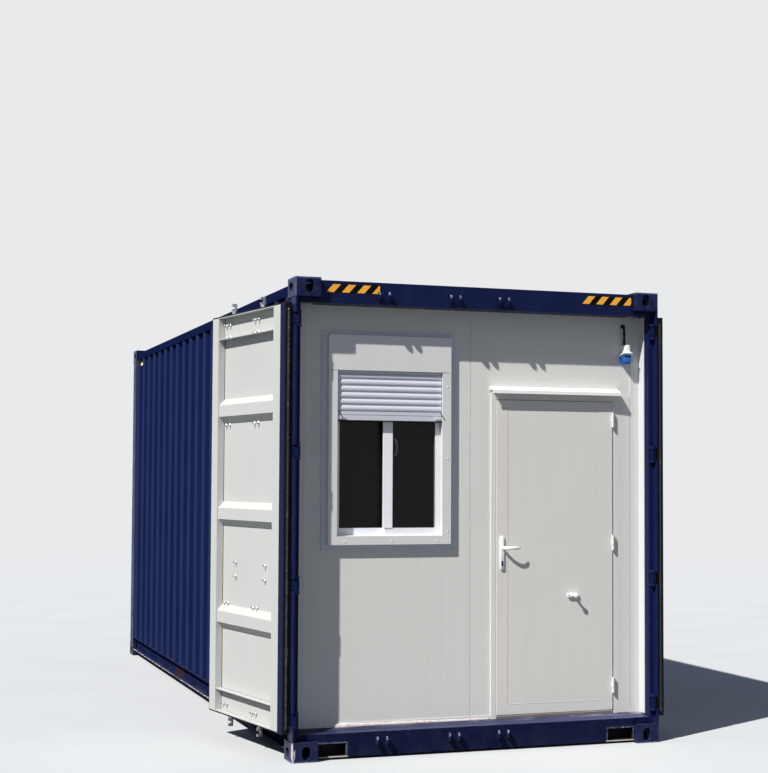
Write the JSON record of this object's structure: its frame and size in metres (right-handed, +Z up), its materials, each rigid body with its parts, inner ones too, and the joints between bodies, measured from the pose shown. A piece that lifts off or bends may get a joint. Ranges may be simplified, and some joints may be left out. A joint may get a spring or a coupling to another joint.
{
  "type": "portable site cabin",
  "caption": "High-cube steel container fitted out as a portable cabin, with an entrance door and a shuttered window behind its folded-back double doors.",
  "frame": {"origin": "on the ground, under the middle of the container's plan", "axes": "+X to the right seen from the door end, +Y from the door end towards the far end, +Z up"},
  "size_m": [2.94, 6.058, 2.896],
  "materials": {
    "casting_paint": "semi-gloss, worn edges",
    "frame_paint": "semi-gloss",
    "header_paint": "semi-gloss with a hazard stripe",
    "sill_paint": "semi-gloss, scuffed",
    "rail_paint": "semi-gloss",
    "underbody_paint": "matt",
    "floor_plywood": "oiled plywood",
    "side_paint": "semi-gloss",
    "roof_paint": "semi-gloss, dusty",
    "lining_white": "satin",
    "wall_panel": "satin coated sheet",
    "trim_paint": "satin coated sheet",
    "window_plastic": "satin plastic",
    "pane_glass": "clear sealed pane",
    "shutter_case": "satin plastic",
    "shutter_slats": "satin plastic",
    "door_frame_paint": "satin coated sheet",
    "canopy_paint": "satin coated sheet",
    "keeper_paint": "semi-gloss, worn edges",
    "inlet_blue": "satin plastic",
    "inlet_white": "satin plastic",
    "cable_rubber": "matt rubber",
    "leaf_paint": "semi-gloss",
    "door_rubber": "matt rubber",
    "rod_zinc": "hot-dip galvanised",
    "entrance_paint": "satin coated sheet",
    "furniture_white": "satin plastic"
  },
  "bodies": {
    "shell": {"corner_castings": "casting_paint", "door_posts": "frame_paint", "door_header": "header_paint", "door_sill": "sill_paint", "far_posts": "frame_paint", "far_beams": "frame_paint", "top_rails": "rail_paint", "bottom_rails": "rail_paint", "cross_members": "underbody_paint", "floor_deck": "floor_plywood", "side_wall_left": "side_paint", "side_wall_right": "side_paint", "far_end_wall": "side_paint", "roof_panel": "roof_paint", "side_linings": "lining_white", "far_lining": "lining_white", "ceiling_lining": "lining_white", "front_wall_left": "wall_panel", "front_wall_middle": "wall_panel", "front_wall_right": "wall_panel", "front_wall_over_door": "wall_panel", "front_wall_at_window": "wall_panel", "wall_trims": "trim_paint", "window_surround": "trim_paint", "window_frame": "window_plastic", "window_sashes": "window_plastic", "window_glass": "pane_glass", "shutter_box": "shutter_case", "shutter_curtain": "shutter_slats", "shutter_guides": "shutter_case", "door_frame": "door_frame_paint", "door_canopy": "canopy_paint", "lock_keepers": "keeper_paint", "power_inlet": "inlet_blue", "inlet_hood": "inlet_white", "inlet_cable": "cable_rubber"},
    "left_door": {"left_leaf": "leaf_paint", "left_gasket": "door_rubber", "left_lock_rods": "rod_zinc", "left_rod_brackets": "rod_zinc"},
    "right_door": {"right_leaf": "leaf_paint", "right_gasket": "door_rubber", "right_lock_rod": "rod_zinc", "right_rod_brackets": "rod_zinc"},
    "entrance": {"entrance_leaf": "entrance_paint", "door_furniture": "furniture_white"},
    "lever": {"door_lever": "furniture_white"},
    "lid": {"inlet_lid": "inlet_blue"}
  },
  "joints": [
    {"name": "left_door_hinge", "type": "hinge", "parent": "shell", "child": "left_door", "pos_m": [-1.19, -3.005, 1.45], "axis": [0, 0, -1], "range_deg": [-260, 0]},
    {"name": "right_door_hinge", "type": "hinge", "parent": "shell", "child": "right_door", "pos_m": [1.19, -3.005, 1.45], "axis": [0, 0, 1], "range_deg": [-260, 0]},
    {"name": "entrance_hinge", "type": "hinge", "parent": "shell", "child": "entrance", "pos_m": [0.971, -2.866, 1.192], "axis": [0, 0, 1], "range_deg": [0, 110]},
    {"name": "lever_turn", "type": "hinge", "parent": "entrance", "child": "lever", "pos_m": [0.193, -2.88, 1.248], "axis": [0, 1, 0], "range_deg": [0, 40], "stiffness_Nm_per_rad": 2, "springref_deg": -28.65},
    {"name": "inlet_lid_hinge", "type": "hinge", "parent": "shell", "child": "lid", "pos_m": [1.059, -2.8933, 2.488], "axis": [-1, 0, 0], "range_deg": [0, 100], "stiffness_Nm_per_rad": 0.08, "springref_deg": -17.19}
  ]
}
